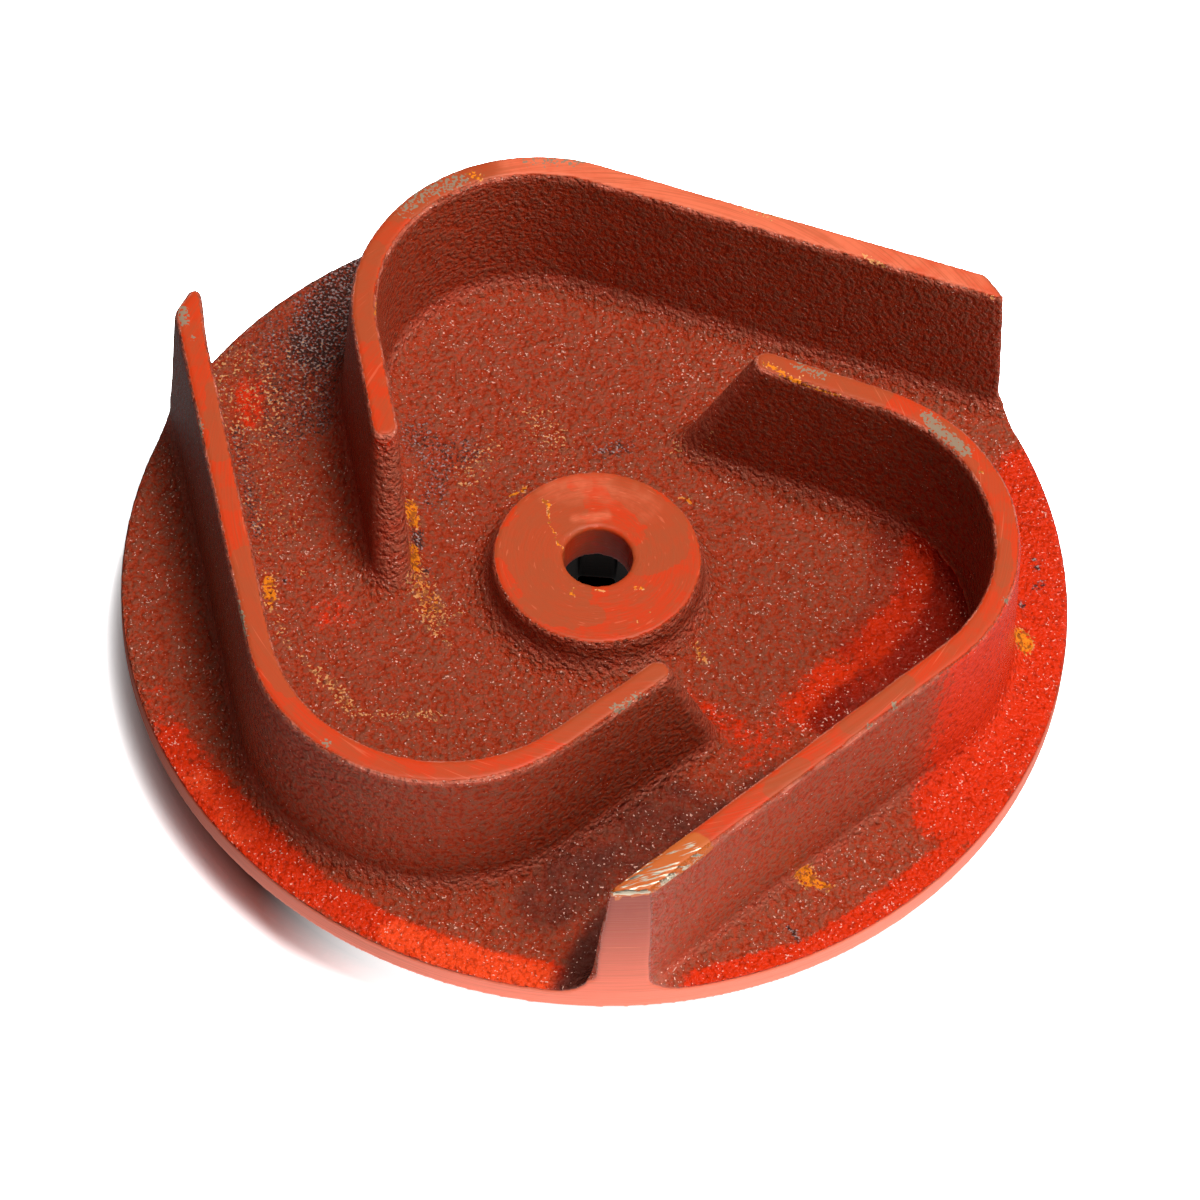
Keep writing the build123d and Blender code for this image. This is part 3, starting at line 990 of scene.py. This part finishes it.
def white_paper():
    """White paper sweep: matt, plain white to the camera except in the shadow at the left.

    The light it gives the casting is set apart from what the camera sees, which real paper can't do. In
    front it glows with light of its own, and on the left and in reflections it is darker than white.
    """
    material = bpy.data.materials.new("white_paper_sweep")
    material.use_nodes = True
    tree = material.node_tree
    shader = tree.nodes["Principled BSDF"]
    shader.inputs["Roughness"].default_value = 0.9
    shader.inputs["Specular IOR Level"].default_value = 0.1
    shader.inputs["Emission Color"].default_value = (1.0, 1.0, 1.0, 1.0)
    place = add_node(tree, "ShaderNodeTexCoord").node.outputs["Object"]
    across = add_node(tree, "ShaderNodeSeparateXYZ", {0: place}).node.outputs["X"]
    outside = add_node(tree, "ShaderNodeVectorMath", {0: place}, operation="LENGTH")
    past_bore = add_node(tree, "ShaderNodeMath", {0: outside, 1: 30 * MM}, operation="GREATER_THAN")
    rays = add_node(tree, "ShaderNodeLightPath").node.outputs

    # Painted shadow: to the camera the paper is bright outside the casting, and its colour darkens under it
    seen = add_node(
        tree,
        "ShaderNodeMapRange",
        {"Value": outside, "From Min": 70 * MM, "From Max": 81 * MM, "To Min": 0.2, "To Max": 3.2},
    )
    # Painted shade: seen through the bore, the paper is black
    seen = add_node(tree, "ShaderNodeMath", {0: seen, 1: past_bore}, operation="MULTIPLY")

    # To the casting it is darker on the left, and darker still as a reflection
    dimmed = add_node(
        tree,
        "ShaderNodeMapRange",
        {"Value": across, "From Min": -120 * MM, "From Max": 0.0, "To Min": 0.2, "To Max": 0.85},
    )
    glossy = add_node(
        tree,
        "ShaderNodeMath",
        {0: rays["Is Glossy Ray"], 1: -0.6, 2: 1.0},
        operation="MULTIPLY_ADD",
    )
    unseen = add_node(tree, "ShaderNodeMath", {0: dimmed, 1: glossy}, operation="MULTIPLY")
    white = add_node(tree, "ShaderNodeMix", {0: rays["Is Camera Ray"], 2: unseen, 3: seen})
    paper = add_node(tree, "ShaderNodeCombineColor", {0: white, 1: white, 2: white})
    tree.links.new(paper, shader.inputs["Base Color"])

    # What the paper gives off: to the camera, white in front and on the right; to the casting, the pool
    lifted = add_node(
        tree,
        "ShaderNodeMapRange",
        {"Value": across, "From Min": -50 * MM, "From Max": -24 * MM},
        interpolation_type="SMOOTHSTEP",
    )
    edge = add_node(
        tree,
        "ShaderNodeMapRange",
        {"Value": outside, "From Min": 72 * MM, "From Max": 84 * MM, "To Max": 0.75},
        interpolation_type="SMOOTHSTEP",
    )
    lifted = add_node(tree, "ShaderNodeMath", {0: lifted, 1: edge}, operation="MAXIMUM")
    lifted = add_node(tree, "ShaderNodeMath", {0: lifted, 1: past_bore}, operation="MULTIPLY")
    from_pool = add_node(
        tree,
        "ShaderNodeVectorMath",
        {0: place, 1: (20 * MM, -105 * MM, 0.0)},
        operation="DISTANCE",
    )
    pool = add_node(
        tree,
        "ShaderNodeMapRange",
        {"Value": from_pool, "From Min": 130 * MM, "From Max": 30 * MM, "To Max": 2.0},
        interpolation_type="SMOOTHSTEP",
    )
    given = add_node(tree, "ShaderNodeMix", {0: rays["Is Camera Ray"], 2: pool, 3: lifted})
    tree.links.new(given, shader.inputs["Emission Strength"])
    return material


def dim_world():
    """A dim studio, so that the lamps and the glowing paper make the light and shade."""
    world = bpy.data.worlds.new("studio")
    world.use_nodes = True
    background = world.node_tree.nodes["Background"]
    background.inputs["Color"].default_value = (1.0, 1.0, 1.0, 1.0)
    background.inputs["Strength"].default_value = 0.09
    return world


def add_softbox(name, power, size, azimuth, elevation, distance):
    """Adds a square area light that looks at the origin, with its angles in degrees."""
    data = bpy.data.lights.new(name, "AREA")
    data.shape = "SQUARE"
    data.size = size
    data.energy = power
    lamp = bpy.data.objects.new(name, data)
    bpy.context.scene.collection.objects.link(lamp)
    around = math.radians(azimuth)
    up = math.radians(elevation)
    towards = Vector((math.cos(around) * math.cos(up), math.sin(around) * math.cos(up), math.sin(up)))
    turn = towards.to_track_quat("Z", "Y").to_matrix().to_4x4()
    lamp.matrix_world = Matrix.Translation(towards * distance) @ turn


def add_camera():
    """Adds the camera: a long lens, looking down at the casting at 56 degrees."""
    data = bpy.data.cameras.new("camera")
    data.lens = CAMERA_LENS
    camera = bpy.data.objects.new("camera", data)
    bpy.context.scene.collection.objects.link(camera)
    tilt = math.radians(CAMERA_TILT)
    roll = math.radians(CAMERA_ROLL)
    ahead = Vector((0.0, math.cos(tilt), -math.sin(tilt)))
    right = Vector((1.0, 0.0, 0.0))
    down = ahead.cross(right)
    rolled_right = math.cos(roll) * right + math.sin(roll) * down
    rolled_down = -math.sin(roll) * right + math.cos(roll) * down
    turn = Matrix((rolled_right, -rolled_down, -ahead)).transposed().to_4x4()
    camera.matrix_world = Matrix.Translation(Vector(CAMERA_PLACE) * MM) @ turn
    bpy.context.scene.camera = camera


class IMPELLER_PT_panel(bpy.types.Panel):
    """Lists the pieces that can be built"""

    bl_idname = "IMPELLER_PT_panel"
    bl_label = "Impeller"
    bl_space_type = "VIEW_3D"
    bl_region_type = "UI"
    bl_category = "Impeller"

    def draw(self, context):
        for operator in OPERATORS:
            self.layout.operator(operator.bl_idname)


GROUPS = (ImpellerCasting, ImpellerPaint, ImpellerStudio)
OPERATORS = (IMPELLER_OT_casting, IMPELLER_OT_stage)
CLASSES = GROUPS + OPERATORS + (IMPELLER_PT_panel,)


def register():
    for cls in CLASSES:
        bpy.utils.register_class(cls)
    bpy.types.Scene.impeller_casting = bpy.props.PointerProperty(type=ImpellerCasting)
    bpy.types.Scene.impeller_paint = bpy.props.PointerProperty(type=ImpellerPaint)
    bpy.types.Scene.impeller_studio = bpy.props.PointerProperty(type=ImpellerStudio)


def unregister():
    del bpy.types.Scene.impeller_studio
    del bpy.types.Scene.impeller_paint
    del bpy.types.Scene.impeller_casting
    for cls in reversed(CLASSES):
        bpy.utils.unregister_class(cls)


def main():
    register()
    bpy.ops.impeller.casting()
    bpy.ops.impeller.stage()


if __name__ == "__main__":
    main()
